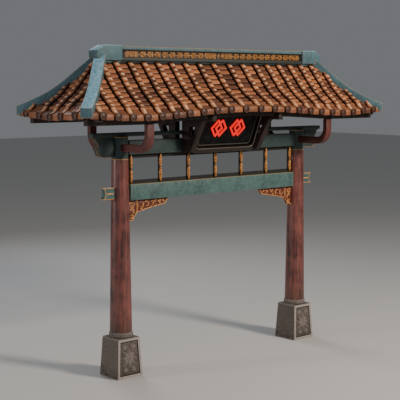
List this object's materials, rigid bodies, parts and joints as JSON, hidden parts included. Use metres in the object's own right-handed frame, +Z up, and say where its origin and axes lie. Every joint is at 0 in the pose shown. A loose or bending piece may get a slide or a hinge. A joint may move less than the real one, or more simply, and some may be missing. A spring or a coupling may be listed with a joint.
{
  "type": "chinese-style street gateway",
  "caption": "Free-standing painted timber gateway with round posts on stone pedestals, a hipped tile roof and a lit sign panel under its raised eave.",
  "frame": {"origin": "on the ground, midway between the two posts, under the ridge", "axes": "+X along the gate from the left post to the right post, -Y the front with the sign, +Z up"},
  "size_m": [6.2666, 1.8586, 4.9381],
  "materials": {
    "stone": "weathered grey stone",
    "post_lacquer": "worn maroon lacquer",
    "teal_paint": "mottled blue-green paint",
    "red_brown_paint": "worn red-brown paint",
    "carved_wood": "carved, rust and gold paint",
    "gilt_wood": "worn gilt",
    "dark_wood": "dark weathered timber",
    "fired_tile": "weathered orange-brown clay",
    "ridge_paint": "worn blue-green glaze",
    "ridge_ornament": "gilt relief",
    "sign_metal": "dark grey, satin",
    "sign_trim": "bright line",
    "sign_panel": "black, gloss",
    "red_tube": "lit red tube"
  },
  "bodies": {
    "root": {"back_arm_left": "dark_wood", "back_arm_right": "dark_wood", "capital_left": "teal_paint", "capital_right": "teal_paint", "corner_bracket_left": "carved_wood", "corner_bracket_right": "carved_wood", "cover_tiles_back": "fired_tile", "cover_tiles_front": "fired_tile", "cover_tiles_sides": "fired_tile", "cross_ties": "dark_wood", "hip_rafters": "dark_wood", "hip_ridge_back_left": "ridge_paint", "hip_ridge_back_right": "ridge_paint", "hip_ridge_front_left": "ridge_paint", "hip_ridge_front_right": "ridge_paint", "hook_back_left": "red_brown_paint", "hook_back_right": "red_brown_paint", "hook_front_left": "red_brown_paint", "hook_front_right": "red_brown_paint", "king_posts": "dark_wood", "lattice_rails": "dark_wood", "lattice_stiles": "dark_wood", "lower_beam": "teal_paint", "pan_tiles_back": "fired_tile", "pan_tiles_front": "fired_tile", "pan_tiles_sides": "fired_tile", "pedestal_left": "stone", "pedestal_right": "stone", "post_left": "post_lacquer", "post_right": "post_lacquer", "purlin_back_left": "dark_wood", "purlin_back_middle": "dark_wood", "purlin_back_right": "dark_wood", "purlin_front_left": "dark_wood", "purlin_front_middle": "dark_wood", "purlin_front_right": "dark_wood", "ridge_beam": "dark_wood", "ridge_body": "ridge_paint", "ridge_cap_left": "ridge_paint", "ridge_cap_right": "ridge_paint", "ridge_ornament": "ridge_ornament", "ring_left": "post_lacquer", "ring_right": "post_lacquer", "roof_boards_back": "dark_wood", "roof_boards_front": "dark_wood", "roof_boards_sides": "dark_wood", "side_purlin_left": "dark_wood", "side_purlin_right": "dark_wood", "sign_arm_left": "dark_wood", "sign_arm_right": "dark_wood", "sign_bezel": "sign_trim", "sign_frame": "sign_metal", "sign_housing": "sign_metal", "sign_screen": "sign_panel", "sign_tubes": "red_tube", "spindles": "gilt_wood", "tie_plate": "teal_paint", "upper_beam": "teal_paint", "wing_panel_left": "teal_paint", "wing_panel_right": "teal_paint"}
  },
  "joints": []
}
